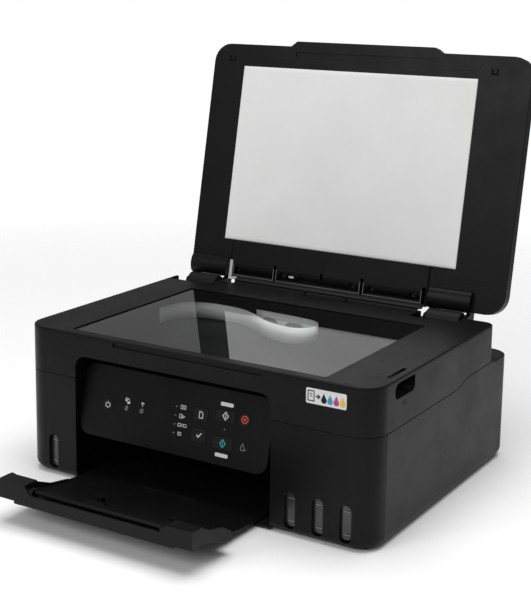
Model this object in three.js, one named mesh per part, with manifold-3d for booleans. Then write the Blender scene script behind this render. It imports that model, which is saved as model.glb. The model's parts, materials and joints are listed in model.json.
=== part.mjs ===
import * as THREE from "three";
import { mergeVertices } from "three/addons/utils/BufferGeometryUtils.js";
import Module from "manifold-3d";

const wasm = await Module();
wasm.setup();

// Ink tank multifunction printer, millimetres. X is to the right as seen from the front,
// Y runs from the front face (y = 0) to the back and Z is up from the floor.

// Overall body
const halfWidth = 208;
const bodyDepth = 337;
const cornerRadius = 25;
const wall = 2.5;
const gap = 0.3;
const floorZ = 2;
const seamZ = 112.5;
const rearSeamZ = 119.5;
const seamRampY = [184, 216];
const deckTopZ = 117;
const sideSeamY = 25;
const bottomFillet = 9;

// Front recess with the output bay, and the control panel above it
const recess = { x0: -140, x1: 97.5, pocketTop: 137.4, pocketBack: 27.5 };
const panel = { x0: -139.6, x1: 90.5, length: 75, lowY: 4, lowZ: 53, tilt: 12, radius: 13, skin: 2.4 };

// Scanner unit
const scanner = { depth: 285.6, split: 158.25, top: 161, rearRadius: 12 };
const glass = { x0: -153.5, x1: 149.5, y0: 12, y1: 233, lap: 2.7, top: 159.8, thick: 2.4 };
const liftPivot = { y: 300, z: 140 };
const liftLugs = [-141, 183];
const ribbonSteps = 60;

// Document cover, given closed and then turned to its open rest angle
const cover = { halfWidth: 206.7, front: 1, rear: 286.6, low: 161.5, top: 177, openAngle: 101.2 };
const coverPivot = { y: 298, z: 152.2 };
const hingeCentres = { left: -178, right: 143.5 };
const pad = { x0: -162.8, x1: 144.5, s0: 45.5, s1: 259, thick: 1.7 };

// Hinge rail of the cover: spans along x, heights counted up from the hinge edge
const rail = { height: 22, bays: [[-144.5, -88.8], [-83.6, 28.2], [34, 106.3]] };
const railSlots = [[-88.2, -84.2], [28.8, 33.4], [107.2, 112.4]];
const railHoles = [[-143.2, -136.4], [-80, -71.5], [-67.6, -59.4], [14.8, 21.6], [39.6, 46.6], [92, 99]];
const catchPegs = [-22.7, 31.1];
const fairing = { x0: -130, x1: 112.5, outer: 12, inner: 10 };
const hingeBarrel = 11;

// Output tray, drawn pulled out
const tray = { x0: -136, x1: 94, plateX1: 82, lipY: -126, rear: 88, plate: 2.2 };
const trayCurve = [
  [88, 7], [0, 7], [-25, 8.5], [-47, 11.5], [-70, 17], [-90, 23], [-108, 28.5], [-124.5, 33.5],
];
const extensionHinge = { y: -118.6, z: 37.4 };

// Rear paper feed
const paperX = [-133, 91];
const flapAxis = { y: 326.5, z: 119.7 };
const support = { y: 330.6, lean: 20, below: 85, above: 2 };

// Mechanism inside
const railY = 172;
const pulley = { x: 176, y: 182.6, radius: 6 };
const gears = { y: 236, z: 64, module: 1, wheelTeeth: 36, pinionTeeth: 12, x: 104, width: 5 };
const tankWindows = { black: -171, cyan: 119.5, magenta: 149.7, yellow: 179.7 };
const tankPlans = {
  black: { x0: -195, x1: -147, radii: [18, 3, 3, 3] },
  cyan: { x0: 106.1, x1: 132.9, radii: [3, 3, 3, 3] },
  magenta: { x0: 136.3, x1: 163.1, radii: [3, 3, 3, 3] },
  yellow: { x0: 166.3, x1: 193.1, radii: [3, 18, 3, 3] },
};
const tankHeights = { bottom: 9, top: 70, neck: 76 };
const capHalf = 8.6;

// The row frame has its origin under the middle of the bounding box at rest.
const rootShiftY = -127.11;

const group = new THREE.Group();

// ---------------------------------------------------------------- solids

function solidOf(geometry) {
  const plain = geometry.clone();
  plain.deleteAttribute("normal");
  plain.deleteAttribute("uv");
  const merged = mergeVertices(plain, 1e-4);
  const vertProperties = Float32Array.from(merged.attributes.position.array);
  const triVerts = Uint32Array.from(merged.index.array);
  return new wasm.Manifold(new wasm.Mesh({ numProp: 3, vertProperties, triVerts }));
}

function box(x0, x1, y0, y1, z0, z1) {
  const geometry = new THREE.BoxGeometry(x1 - x0, y1 - y0, z1 - z0);
  geometry.translate((x0 + x1) / 2, (y0 + y1) / 2, (z0 + z1) / 2);
  return solidOf(geometry);
}

// A flat outline pushed along one axis: [y, z] pairs along x, [x, z] along y, [x, y] along z.
function prism(axis, outline, from, to) {
  const points = outline.map(([a, b]) => new THREE.Vector2(a, b));
  const options = { depth: to - from, bevelEnabled: false };
  const geometry = new THREE.ExtrudeGeometry(new THREE.Shape(points), options);
  const matrix = new THREE.Matrix4();
  if (axis === "x") {
    matrix.set(0, 0, 1, from, 1, 0, 0, 0, 0, 1, 0, 0, 0, 0, 0, 1);
  }
  if (axis === "y") {
    matrix.set(1, 0, 0, 0, 0, 0, -1, to, 0, 1, 0, 0, 0, 0, 0, 1);
  }
  if (axis === "z") {
    matrix.makeTranslation(0, 0, from);
  }
  geometry.applyMatrix4(matrix);
  return solidOf(geometry);
}

function rod(axis, from, to, a, b, radius, segments = 18) {
  const outline = [];
  for (let i = 0; i < segments; i += 1) {
    const angle = (2 * Math.PI * i) / segments;
    outline.push([a + radius * Math.cos(angle), b + radius * Math.sin(angle)]);
  }
  return prism(axis, outline, from, to);
}

// Rectangle with one radius per corner, counter-clockwise from the low corner.
function roundedOutline(u0, u1, v0, v1, radii, steps = 6) {
  const corners = [
    [u0, v0, 1, 1, 180],
    [u1, v0, -1, 1, 270],
    [u1, v1, -1, -1, 0],
    [u0, v1, 1, -1, 90],
  ];
  const outline = [];
  corners.forEach(([u, v, su, sv, start], index) => {
    const radius = Math.max(radii[index], 0.2);
    for (let i = 0; i <= steps; i += 1) {
      const angle = THREE.MathUtils.degToRad(start + (90 * i) / steps);
      outline.push([u + su * radius + radius * Math.cos(angle), v + sv * radius + radius * Math.sin(angle)]);
    }
  });
  return outline;
}

// Upright slab with rounded corners in plan and rounded lower and upper edges.
function slab(x0, x1, y0, y1, z0, z1, radii, lowFillet = 0, topFillet = 0, steps = 6) {
  const rings = [];
  const ring = (inset, z) => {
    const shrunk = radii.map((radius) => radius - inset);
    const outline = roundedOutline(x0 + inset, x1 - inset, y0 + inset, y1 - inset, shrunk, steps);
    rings.push(outline.map(([x, y]) => [x, y, z]));
  };
  const turns = [0, 1, 2, 3, 4].map((k) => (k * Math.PI) / 8);
  if (lowFillet > 0) {
    turns.slice(0, 4).forEach((t) => ring(lowFillet * (1 - Math.sin(t)), z0 + lowFillet * (1 - Math.cos(t))));
  }
  ring(0, z0 + lowFillet);
  ring(0, z1 - topFillet);
  if (topFillet > 0) {
    const back = turns.slice(0, 4).reverse();
    back.forEach((t) => ring(topFillet * (1 - Math.sin(t)), z1 - topFillet * (1 - Math.cos(t))));
  }
  return loft(rings);
}

function loft(rings) {
  const count = rings[0].length;
  const index = [];
  for (let k = 0; k + 1 < rings.length; k += 1) {
    for (let i = 0; i < count; i += 1) {
      const a = k * count + i;
      const b = k * count + ((i + 1) % count);
      index.push(a, b, b + count, a, b + count, a + count);
    }
  }
  const last = (rings.length - 1) * count;
  for (let i = 1; i + 1 < count; i += 1) {
    index.push(0, i + 1, i, last, last + i, last + i + 1);
  }
  const geometry = new THREE.BufferGeometry();
  geometry.setAttribute("position", new THREE.Float32BufferAttribute(rings.flat(2), 3));
  geometry.setIndex(index);
  return solidOf(geometry);
}

const join = (...solids) => solids.reduce((all, solid) => all.add(solid));
const cut = (solid, ...tools) => tools.reduce((left, tool) => left.subtract(tool), solid);

function add(name, solid, color, finish = {}) {
  if (solid.decompose().length !== 1) {
    throw new Error(`${name} is not one body`);
  }
  const placed = solid.translate([0, rootShiftY, 0]).getMesh();
  const geometry = new THREE.BufferGeometry();
  const position = new THREE.Float32BufferAttribute(Float32Array.from(placed.vertProperties), 3);
  geometry.setAttribute("position", position);
  geometry.setIndex(new THREE.Uint32BufferAttribute(Uint32Array.from(placed.triVerts), 1));
  const options = { color, roughness: 0.55, metalness: 0, flatShading: true, ...finish };
  const mesh = new THREE.Mesh(geometry, new THREE.MeshStandardMaterial(options));
  mesh.name = name;
  group.add(mesh);
}

const BLACK = 0x1a1b1c;
const DARK = 0x242628;
const PALE = 0xd9dad8;
const STEEL = { metalness: 0.9, roughness: 0.35 };

// ---------------------------------------------------------------- lower housing

const housing = cut(
  slab(-halfWidth, halfWidth, 0, bodyDepth, floorZ, 126, [25, 25, 25, 25], bottomFillet),
  slab(-205.5, 205.5, wall, bodyDepth - wall, floorZ + wall, 130, [22.5, 22.5, 22.5, 22.5], 7),
  box(-197.3, 197.3, 9.7, 327.3, 0, 5),
);

function windowSlot(x) {
  return prism("y", roundedOutline(x - 6, x + 6, 7, 45, [5.9, 5.9, 5.9, 5.9], 5), -2, 5);
}

function frontCover(x0, x1, returnX0, returnX1, windows) {
  const skin = housing.intersect(box(x0, x1, -1, sideSeamY - gap / 2, 0, seamZ - gap));
  const sideReturn = box(returnX0, returnX1, 1.2, 27, 4.8, seamZ - gap);
  return cut(join(skin, sideReturn), ...windows.map(windowSlot));
}

function sideCover(x0, x1) {
  const top = seamZ - gap;
  const rearTop = rearSeamZ - gap;
  const outline = [
    [sideSeamY + gap / 2, 0],
    [311.85, 0],
    [311.85, deckTopZ],
    [scanner.depth, deckTopZ],
    [scanner.depth, rearTop],
    [seamRampY[1], rearTop],
    [seamRampY[0], top],
    [sideSeamY + gap / 2, top],
  ];
  return housing.intersect(prism("x", outline, x0, x1));
}

function rearCover() {
  const skin = housing.intersect(box(-209, 209, 312.15, 338, 0, deckTopZ));
  const inlet = box(-187, -163, 330, 340, 22, 44);
  const usb = box(150, 166, 330, 340, 26, 40);
  const vents = [0, 1, 2, 3, 4, 5, 6, 7].map((i) => box(60 + i * 9, 64 + i * 9, 330, 340, 60, 84));
  return cut(skin, inlet, usb, ...vents);
}

function hingeNotches(z0, z1, y0, y1) {
  const left = box(-207, -150.3, y0, y1, z0, z1);
  const right = box(114, 173, y0, y1, z0, z1);
  return [left, right];
}

function rearDeck() {
  const plate = slab(-205.2, 205.2, 262, 334.2, 114.5, deckTopZ, [1, 1, 22.2, 22.2]);
  const profile = [[290, 116], [312, 116], [312, 146], [308.5, 149.5], [294.5, 149.5], [290, 145]];
  const ends = prism("y", roundedOutline(-194, 194, 115, 149.5, [1, 1, 7, 7], 4), 280, 320);
  const block = prism("x", profile, -194, 194).intersect(ends);
  const lugSlots = liftLugs.map((x) => box(x - 4.5, x + 4.5, 280, 308, 131, 152));
  const bores = liftLugs.map((x) => rod("x", x - 7.4, x + 7.4, liftPivot.y, liftPivot.z, 3.3));
  const hollow = box(-130, 108, 293, 309, 110, 146.5);
  const feedSlot = box(paperX[0], paperX[1], 315, 325.3, 110, 120);
  const supportSlot = box(-122, 80, 328.2, 332.6, 110, 120);
  const ears = [[-138, -135.5], [93.5, 96]].map(([x0, x1]) => {
    const ear = box(x0, x1, 323.4, 329.6, 116.5, 122.4);
    return cut(ear, rod("x", x0 - 1, x1 + 1, flapAxis.y, flapAxis.z, 1.8, 16));
  });
  const body = cut(join(plate, block), ...hingeNotches(136, 152, 280, 320), ...lugSlots, ...bores);
  return cut(join(body, ...ears), hollow, feedSlot, supportSlot);
}

function baseCase() {
  const floor = box(-197, 197, 10, 327, floorZ, 4.5);
  const lip = box(-139.9, 97.1, 1, 11, floorZ, 4);
  const left = box(-145.6, -143.2, 28, 217.4, 4, 51.6);
  const right = box(100.2, 102.6, 28, 217.4, 4, 51.6);
  const back = box(-145.6, 102.6, 215, 217.4, 4, 51.6);
  const ribs = [-150, -60, 30].map((x) => box(x, x + 2.4, 219, 326, 4, 12));
  return join(floor, lip, left, right, back, ...ribs);
}

function innerDeck() {
  const plate = box(-145, 102, 30, 216, 52, 54.4);
  const beam = box(-145, 102, 30, 34, 54, 60);
  const posts = [-120, 78].map((x) => box(x, x + 6, 160, 166, 54, 83.7));
  return join(plate, beam, ...posts);
}

add("base_case", baseCase(), DARK);
add("front_cover_left", frontCover(-209, -140.3, -142.8, -140.3, [tankWindows.black]), BLACK);
const rightWindows = [tankWindows.cyan, tankWindows.magenta, tankWindows.yellow];
add("front_cover_right", frontCover(97.6, 209, 97.6, 100.1, rightWindows), BLACK);
add("side_cover_left", sideCover(-209, -150), BLACK);
add("side_cover_right", sideCover(150, 209), BLACK);
add("rear_cover", rearCover(), BLACK);
add("rear_deck", rearDeck(), BLACK);
add("inner_deck", innerDeck(), DARK);

[[-178, 32], [178, 32], [-178, 304], [178, 304]].forEach(([x, y], index) => {
  add(`foot_${index + 1}`, rod("z", 0, floorZ - 0.15, x, y, 9, 32), 0x101010, { roughness: 0.9 });
});

// ---------------------------------------------------------------- control panel

// Panel parts are drawn flat: x across, y up the slope and z out of the face.
function ontoPanel(solid) {
  return solid.rotate([90 - panel.tilt, 0, 0]).translate([0, panel.lowY, panel.lowZ]);
}

const roundButtons = { button_power: [-105.8, 35, 6.2], button_stop: [60, 49.5, 6.6] };
const boxButtons = {
  button_select: [9.2, 45.1, 16, 13.6],
  button_ok: [9.3, 24.7, 16, 13],
  button_start_black: [37.7, 49.1, 22.6, 12],
  button_start_colour: [37.8, 21.8, 22.6, 12],
};

function buttonSolid(spec, grow, t0, t1) {
  if (spec.length === 3) {
    return rod("z", t0, t1, spec[0], spec[1], spec[2] + grow, 28);
  }
  const [x, w, wide, high] = spec;
  const radii = [2.2 + grow, 2.2 + grow, 2.2 + grow, 2.2 + grow];
  const across = wide / 2 + grow;
  const along = high / 2 + grow;
  const outline = roundedOutline(x - across, x + across, w - along, w + along, radii, 4);
  return prism("z", outline, t0, t1);
}

const buttons = { ...roundButtons, ...boxButtons };

function controlPanel() {
  const { x0, x1, length, radius, skin } = panel;
  const outer = prism("z", roundedOutline(x0, x1, 0, length, [radius, radius, radius, radius]), -5, 0);
  const inside = radius - 2;
  const inner = roundedOutline(x0 + 2, x1 - 2, 2, length - 2, [inside, inside, inside, inside]);
  const holes = Object.values(buttons).map((spec) => buttonSolid(spec, gap, -12, 3));
  return ontoPanel(cut(outer, prism("z", inner, -12, -skin), ...holes));
}

add("control_panel", controlPanel(), 0x17181a, { roughness: 0.45 });
Object.entries(buttons).forEach(([name, spec]) => {
  const cap = buttonSolid(spec, 0, -3.6, 0.6);
  const flange = buttonSolid(spec, 1.2, -4.4, -3.4);
  add(name, ontoPanel(join(cap, flange)), 0x1f2022, { roughness: 0.5 });
});

// ---------------------------------------------------------------- scanner unit

const scannerRadii = [cornerRadius, cornerRadius, scanner.rearRadius, scanner.rearRadius];

function aboveSeam(offset) {
  const low = seamZ + gap + offset;
  const high = rearSeamZ + gap + offset;
  const outline = [[-2, low], [seamRampY[0], low], [seamRampY[1], high], [290, high], [290, 170], [-2, 170]];
  return prism("x", outline, -210, 210);
}

function scannerShell() {
  const { depth, split } = scanner;
  const outer = slab(-halfWidth, halfWidth, 0, depth, 110, split - 0.15, scannerRadii);
  const innerRadii = scannerRadii.map((radius) => radius - wall);
  const inner = slab(-205.5, 205.5, wall, depth - wall, 110, 175, innerRadii);
  return cut(outer.intersect(aboveSeam(0)), inner.intersect(aboveSeam(wall)));
}

function glassTub() {
  const z1 = glass.top - glass.thick - 0.3;
  const right = box(153, 156, 8, 260, 114, z1);
  const front = box(-192, 156, 5.6, 8.6, 114, z1);
  const back = join(box(-203, 156, 258, 260.5, 114, z1), box(-206, -202, 258, 260.5, 125, z1));
  const shelf = box(-206, 154, 236.6, 259, z1 - 2.4, z1);
  return [right, front, back, shelf];
}

function notchOutline(grow) {
  const radii = [6 + grow, 6 + grow, 3 + grow, 7 + grow];
  return roundedOutline(39 - grow, 82 + grow, 141 - grow, 156.8, radii, 5);
}

// A curved lip behind the scanner, concentric with the cover's hinge.
function hingeFairing() {
  const { y, z } = coverPivot;
  const { x0, x1, outer, inner } = fairing;
  const degrees = [150, 135, 120, 105, 90, 75, 60, 48];
  const arc = (radius) => degrees.map((degree) => {
    const angle = THREE.MathUtils.degToRad(degree);
    return [y + radius * Math.cos(angle), z + radius * Math.sin(angle)];
  });
  const lip = prism("x", [...arc(outer), ...arc(inner).reverse()], x0, x1);
  return join(lip, box(x0, x1, 284, 289.5, 155, scanner.split - 0.15));
}

function scannerLowerCase() {
  const pocketRadii = [0.2, 0.2, 13, 13];
  const shelfRadii = [0.2, 0.2, 14, 14];
  const shelfTop = recess.pocketTop + wall;
  const shelfOutline = roundedOutline(recess.x0 - wall, recess.x1 + wall, 113, shelfTop, shelfRadii);
  const pocketShell = prism("y", shelfOutline, 0.5, recess.pocketBack + wall);
  const pocketOutline = roundedOutline(recess.x0, recess.x1, 105, recess.pocketTop, pocketRadii);
  const pocket = prism("y", pocketOutline, -3, recess.pocketBack);
  const notchBlock = box(193.6, 206.5, 36.5, 84.5, 138.6, scanner.split - 0.15);
  const notch = prism("x", notchOutline(0), 195.8, 212);
  const throat = box(196.6, 201, 42, 79, 150, 160);
  const strip = box(-91, 87, -2, 1.5, 154, 162);
  const arms = Object.values(hingeCentres).map((x) => box(x - 19, x + 19, 281, 290, 147.2, 162));
  const boxes = Object.values(hingeCentres).map((x) => box(x - 27.5, x + 27.5, 276, 290, 152.9, 162));
  const lugs = liftLugs.map((x) => {
    const arm = box(x - 3, x + 3, 284, liftPivot.y, 134, 146);
    const eye = rod("x", x - 3, x + 3, liftPivot.y, liftPivot.z, 6.5);
    return join(arm, eye, rod("x", x - 6.8, x + 6.8, liftPivot.y, liftPivot.z, 3));
  });
  const shell = join(scannerShell(), ...glassTub(), pocketShell, notchBlock);
  return join(cut(shell, pocket, notch, throat, strip, ...arms, ...boxes), hingeFairing(), ...lugs);
}

function scannerTopCase() {
  const { depth, split, top } = scanner;
  const plate = slab(-halfWidth, halfWidth, 0, depth, split + 0.15, top, scannerRadii, 0, 1.5, 6);
  const openingRadii = [2.5, 2.5, 2.5, 2.5];
  const openingOutline = roundedOutline(glass.x0, glass.x1, glass.y0, glass.y1, openingRadii, 3);
  const opening = prism("z", openingOutline, 150, 165);
  const rebate = box(glass.x0 - 3, glass.x1 + 3, glass.y0 - 3, glass.y1 + 3, 150, glass.top + 0.3);
  const slot = box(196.6, 201, 42, 79, 150, 165);
  const sockets = Object.values(hingeCentres).map((x) => box(x - 27.5, x + 27.5, 261.5, 290, 150, 165));
  const pegs = catchPegs.map((x) => box(x - 0.9, x + 0.9, 272.4, 274.4, 160, 167.6));
  return join(cut(plate, opening, rebate, slot, ...sockets), ...pegs);
}

function scanGlass() {
  const { x0, x1, y0, y1, lap, top, thick } = glass;
  return box(x0 - lap, x1 + lap, y0 - lap, y1 + lap, top - thick, top);
}

function scanBar() {
  const body = box(-203.4, -181.4, 24, 228, 144, 156.8);
  const lens = box(-194.4, -190.4, 28, 224, 154.8, 158);
  return cut(body, lens);
}

// A thin strip standing on edge along a smooth path.
function ribbonStrip(path, z0, z1, thick) {
  const curve = new THREE.CatmullRomCurve3(path.map(([x, y]) => new THREE.Vector3(x, y, 0)));
  const points = curve.getPoints(ribbonSteps);
  const rings = points.map((point, index) => {
    const tangent = curve.getTangent(index / ribbonSteps);
    const nx = (-tangent.y * thick) / 2;
    const ny = (tangent.x * thick) / 2;
    const { x, y } = point;
    return [[x - nx, y - ny, z0], [x + nx, y + ny, z0], [x + nx, y + ny, z1], [x - nx, y - ny, z1]];
  });
  return loft(rings);
}

function scanRibbon() {
  const path = [
    [-174, 196], [-173, 214], [-168, 230], [-158.5, 241], [-143.5, 247.4], [-118, 249.6],
    [-92, 246.5], [-68, 235.5], [-43, 218], [-20, 209.5], [0, 208], [14, 216], [18, 232],
    [8, 246], [-30, 252.6], [-76, 254.6],
  ];
  return ribbonStrip(path, 122.8, 141.5, 0.6);
}

function frontLabel() {
  const outline = roundedOutline(135.4, 178, 137.4, 152.3, [1.5, 1.5, 1.5, 1.5], 3);
  return prism("y", outline, -0.5, -0.05);
}

add("scanner_lower_case", scannerLowerCase(), BLACK);
add("scanner_top_case", scannerTopCase(), BLACK);
add("scan_glass", scanGlass(), 0xb9c4c6, { transparent: true, opacity: 0.35, roughness: 0.05 });
add("scan_bar", scanBar(), DARK);
add("scan_ribbon", scanRibbon(), PALE);
add("front_label", frontLabel(), 0xe8e8e6);

// ---------------------------------------------------------------- document cover and its hinges

function opened(solid) {
  const { y, z } = coverPivot;
  return solid.translate([0, -y, -z]).rotate([-cover.openAngle, 0, 0]).translate([0, y, z]);
}

function hingeEars(x) {
  const { y, z } = coverPivot;
  return [-1, 1].map((side) => {
    const x0 = side < 0 ? x - 25.5 : x + 20.1;
    const eye = rod("x", x0, x0 + 5.4, y, z, 5);
    const neckOutline = [[y - 5, z], [y + 5, z], [297, 165], [297, 172], [288.4, 172], [288.4, 162]];
    const neck = prism("x", neckOutline, x0, x0 + 5.4);
    const root = box(x0, x0 + 5.4, 284, 292, 163, 172);
    const bore = side < 0 ? [x - 23.6, x - 19] : [x + 19, x + 23.6];
    return cut(join(eye, neck, root), rod("x", bore[0], bore[1], y, z, 2.7));
  });
}

// The housing over each hinge is a flattened half barrel.
function hingeHousing(x) {
  const outline = [[263.6, 163], [263.6, 160], [264.6, 157.6], [266.8, 155.6], [270, 154.2], [275, 153.4]];
  outline.push([279.6, 153.9], [283.4, 155.2], [286.2, 157.4], [287.6, 160.2], [287.6, 163]);
  return prism("x", outline, x - 25.5, x + 25.5);
}

// Cutting box sunk into the closed cover's inner face, placed by its height above the hinge edge.
function railCut(x0, x1, s0, s1, depth) {
  return box(x0, x1, cover.rear - s1, cover.rear - s0, cover.low - 2, cover.low + depth);
}

// A bay swells at the top and falls away to a thin rim along the hinge edge.
function railBay([x0, x1]) {
  const profile = [
    [3.2, -2], [15.8, -2], [15.8, 1], [14.9, 1], [14.7, 0.2], [12.4, 0.4],
    [10.4, 0.9], [8.4, 1.7], [6.4, 2.9], [4.6, 4.2], [3.2, 4.2],
  ];
  return prism("x", profile.map(([s, depth]) => [cover.rear - s, cover.low + depth]), x0, x1);
}

function railSlot([x0, x1]) {
  const round = (x1 - x0) / 2 - 0.05;
  const outline = roundedOutline(x0, x1, cover.rear - 20.6, cover.rear + 4, [round, round, 0.2, 0.2], 4);
  return prism("z", outline, cover.low - 2, cover.low + 9);
}

function railCuts() {
  const { bays, height } = rail;
  const holes = railHoles.map(([x0, x1]) => railCut(x0, x1, 7.4, 13, 5));
  const tongueCuts = [[-51.8, -30, 13, 14, 2], [-51.8, -30, 6, 7, 4], [-51.8, -50.6, 6, 14, 3]];
  const tongue = tongueCuts.map((spec) => railCut(...spec));
  const channels = [railCut(113.4, 117.6, -4, 45, 2.2), railCut(-150.3, -149.5, height, 45, 1.2)];
  const notch = box(-152.5, -147, cover.rear - height, 292, 150, 180);
  const pegHole = railCut(catchPegs[0] - 1.6, catchPegs[0] + 1.6, 11, 19, 7.5);
  return [...bays.map(railBay), ...railSlots.map(railSlot), ...holes, ...tongue, ...channels, notch, pegHole];
}

function documentCover() {
  const { halfWidth: half, front, rear, low, top } = cover;
  const shell = slab(-half, half, front, rear, low, top, [22, 22, 22, 8], 0.6, 3);
  const handle = prism("z", [[-103.4, 4], [-91.6, -5.1], [88.4, -5.1], [101.8, 4]], low, top - 1);
  const cavity = slab(-half + 3, half - 3, front + 3, rear - rail.height, low + 3, top - 2.6, [19, 19, 4, 4]);
  const y0 = rear - pad.s1;
  const y1 = rear - pad.s0;
  const seat = box(pad.x0 - gap, pad.x1 + gap, y0 - gap, y1 + gap, low - 2, low + 1.6);
  const opening = box(pad.x0 + 8, pad.x1 - 8, y0 + 8, y1 - 8, low - 2, low + 4);
  const groove = box(-91.5, 92, 7.6, 12.6, low - 2, low + 1.4);
  const centres = Object.values(hingeCentres);
  const carved = cut(join(shell, handle), cavity, seat, opening, groove, ...railCuts());
  return opened(join(carved, ...centres.map(hingeHousing), ...centres.flatMap(hingeEars)));
}

function coverPad() {
  const { rear, low } = cover;
  return opened(box(pad.x0, pad.x1, rear - pad.s1, rear - pad.s0, low - 0.25, low - 0.25 + pad.thick));
}

function coverHinge(x) {
  const { y, z } = coverPivot;
  const post = box(x - 17.5, x + 17.5, 264, 282.8, 123, 152.4);
  const arm = box(x - 17.5, x + 17.5, 282, y, 147.9, 152.4);
  const barrel = rod("x", x - 19.5, x + 19.5, y, z, hingeBarrel, 28);
  return join(post, arm, barrel, rod("x", x - 22.8, x + 22.8, y, z, 2.4));
}

add("document_cover", documentCover(), BLACK);
add("cover_pad", coverPad(), PALE, { roughness: 0.8 });
add("cover_hinge_left", coverHinge(hingeCentres.left), DARK);
add("cover_hinge_right", coverHinge(hingeCentres.right), DARK);

// ---------------------------------------------------------------- output tray

function trayPlate() {
  const under = trayCurve.map(([y, z]) => [y, z - tray.plate]).reverse();
  const plate = prism("x", [...trayCurve, ...under], tray.x0, tray.x1);
  return cut(plate, box(tray.plateX1, tray.x1 + 2, -62, 120, -5, 60));
}

function trayLip() {
  const outline = [
    [-136, 26.5], [-112, 26.5], [-110, 24], [73, 24], [75, 26.3], [94, 26.3], [94, 43.4], [92.8, 44.2],
    [64.5, 43.6], [62.5, 41], [61, 37.5], [58.5, 36], [-92, 35.6], [-95.5, 36.8], [-98, 40],
    [-101, 44], [-103, 44.6], [-135, 43.8], [-136, 43],
  ];
  return prism("y", outline, tray.lipY, tray.lipY + 2.2);
}

function traySide(x0, outline) {
  return prism("x", outline, x0, x0 + 2.2);
}

function outputTray() {
  const leftWall = [
    [-125, 26.5], [-125, 43.8], [-104, 43.8], [-87, 31], [-64, 21], [-47, 14], [-20, 9.4],
    [-20, 6.2], [-47, 9.4], [-70, 15], [-90, 21], [-108, 26.5],
  ].reverse();
  const rightWall = [
    [-125, 27], [-125, 44], [-109, 42.2], [-97, 36], [-77, 31.5],
    [-62.5, 23], [-62.5, 14.5], [-70, 15.5], [-90, 21], [-108, 26.5],
  ].reverse();
  const leftTop = box(-136, -102, -125, -106, 42.2, 43.9);
  const rightTop = box(65, 94, -125, -110, 41.8, 43.6);
  const gussets = [[-104, -101.8], [65, 67.2]].map(([x0, x1]) => box(x0, x1, -125, -107, 29, 43));
  const bosses = [[-98, -92.6], [57.6, 63]].map(([x0, x1]) => box(x0, x1, -125, -115.4, 31, 40.4));
  const bores = rod("x", -95.6, 60.6, extensionHinge.y, extensionHinge.z, 1.9, 16);
  const post = box(-61, -55, -66, -60, 13, 22);
  const boss = box(22, 29, -60, -55, 14, 17.5);
  const rib = box(-60, 6, 9, 12, 6, 8.2);
  const foot = box(-118, -110, -122, -112, 21.5, 31);
  const walls = [traySide(-136, leftWall), traySide(91.8, rightWall)];
  const plain = join(trayPlate(), trayLip(), ...walls, leftTop, rightTop);
  const dressed = join(plain, ...gussets, ...bosses, post, boss, rib, foot);
  const clearance = box(-92.6, 57.6, -122.6, -115, 35.7, 48);
  return cut(dressed, bores, clearance);
}

function trayExtension() {
  const { y, z } = extensionHinge;
  const plate = box(-92, 57, 0, 30, -2.4, -0.4);
  const edge = rod("x", -92, 57, 0, 0, 2.2, 16);
  const pins = rod("x", -95, 60, 0, 0, 1.6, 16);
  const grip = box(-54, -30.5, 26, 31, -2.4, 1.4);
  return join(plate, edge, pins, grip).rotate([-17, 0, 0]).translate([0, y, z]);
}

add("output_tray", outputTray(), 0x161718);
add("tray_extension", trayExtension(), 0x1b1c1d);

// ---------------------------------------------------------------- rear paper feed

function rearTrayCover() {
  const { y, z } = flapAxis;
  const plate = box(-135, 93, 314.4, y, z - 1.5, z + 1.5);
  const round = rod("x", -135, 93, y, z, 1.7, 16);
  const pins = rod("x", -137.4, 95.4, y, z, 1.5, 16);
  const lip = box(-60, 18, 312.6, 315, z - 1.5, z + 1.5);
  return join(plate, round, pins, lip);
}

function paperSupport() {
  const plate = box(-121, 79, -1, 1, -support.below, support.above);
  const grip = box(-60, 18, -1.3, 3, 1.3, 4.6);
  const windows = [-95, -45, 5].map((x) => box(x, x + 36, -3, 3, -70, -30));
  return cut(join(plate, grip), ...windows).rotate([-support.lean, 0, 0]).translate([0, support.y, deckTopZ]);
}

function paperGuide(x, toward) {
  const outline = [[315.6, 96], [320.4, 96], [324.8, 108.4], [324.8, 116.8], [315.6, 116.8]];
  const fin = prism("x", outline, x - 1.2, x + 1.2);
  const [x0, x1] = toward > 0 ? [x - 1.2, x + 9] : [x - 9, x + 1.2];
  const foot = box(x0, x1, 315.6, 320, 96, 97.6);
  return join(fin, foot);
}

add("rear_tray_cover", rearTrayCover(), BLACK);
add("paper_support", paperSupport(), DARK);
add("paper_guide_left", paperGuide(-131, 1), DARK);
add("paper_guide_right", paperGuide(89, -1), DARK);

// ---------------------------------------------------------------- ink tanks

const inkColours = { black: 0x18181a, cyan: 0x1f7fb4, magenta: 0xb02c72, yellow: 0xc9a81e };

// The ink is part of the tank's solid: only the filler neck is hollow.
function tankSolid(colour, x, half) {
  const { bottom, top, neck } = tankHeights;
  const { x0, x1, radii } = tankPlans[colour];
  const block = slab(x0, x1, 4, 70, bottom, top, radii, 0, 0, 4);
  const collar = rod("z", top - 1, neck, x, 32, 7.5, 18);
  const hole = rod("z", 62, neck + 1, x, 32, 5, 16);
  const ears = [-1, 1].map((side) => {
    const earX = side < 0 ? x - half - 2.6 : x + half + 0.4;
    const ear = box(earX, earX + 2.2, 45, 51.4, top - 1, 80.6);
    return cut(ear, rod("x", earX - 1, earX + 3.2, 48, 78, 1.8, 10));
  });
  return cut(join(block, collar, ...ears), hole);
}

function tankCap(x, half) {
  const lid = box(x - half, x + half, 20, 46, 76.5, 81);
  const barrel = rod("x", x - half, x + half, 48, 78, 2.4, 16);
  const web = box(x - half, x + half, 45, 48, 76.5, 80);
  const pins = rod("x", x - half - 2, x + half + 2, 48, 78, 1.5, 10);
  const tab = box(x - 4, x + 4, 17, 21, 78.5, 81);
  return join(lid, barrel, web, pins, tab);
}

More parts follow.
